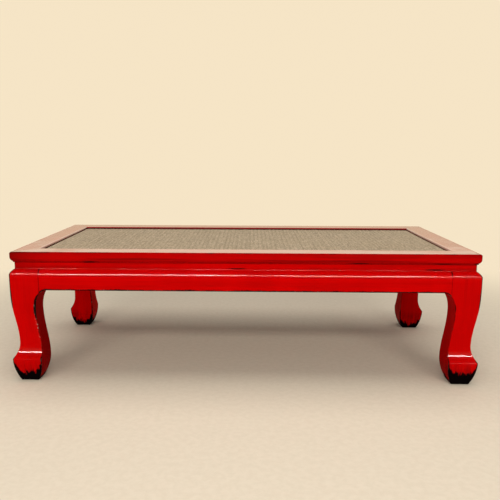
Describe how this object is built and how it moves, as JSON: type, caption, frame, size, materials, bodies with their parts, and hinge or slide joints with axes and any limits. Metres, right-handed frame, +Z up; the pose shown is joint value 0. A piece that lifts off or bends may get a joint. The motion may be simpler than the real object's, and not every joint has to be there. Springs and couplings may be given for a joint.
{
  "type": "kang table",
  "caption": "Low red-lacquered waisted table with a woven inset top, straight aprons with a sloped shoulder, and curved legs on hoof feet.",
  "frame": {"origin": "floor level, at the middle of the table's footprint", "axes": "+X along the table's length, +Y from front to back, +Z up"},
  "size_m": [1.414, 0.664, 0.405],
  "materials": {
    "red_lacquer": "glossy red lacquer on wood, worn dark at edges and feet",
    "woven_fibre": "matt plaited plant fibre",
    "plain_wood": "planed wood with a thin dark stain"
  },
  "bodies": {
    "root": {"frame_rail_front": "red_lacquer", "waist_front": "red_lacquer", "apron_front": "red_lacquer", "frame_rail_right": "red_lacquer", "waist_right": "red_lacquer", "apron_right": "red_lacquer", "frame_rail_back": "red_lacquer", "waist_back": "red_lacquer", "apron_back": "red_lacquer", "frame_rail_left": "red_lacquer", "waist_left": "red_lacquer", "apron_left": "red_lacquer", "leg_front_left": "red_lacquer", "leg_front_right": "red_lacquer", "leg_back_left": "red_lacquer", "leg_back_right": "red_lacquer", "panel_board_1": "plain_wood", "panel_board_2": "plain_wood", "panel_board_3": "plain_wood", "panel_board_4": "plain_wood", "brace_1": "plain_wood", "brace_2": "plain_wood", "brace_3": "plain_wood", "woven_mat": "woven_fibre"}
  },
  "joints": []
}
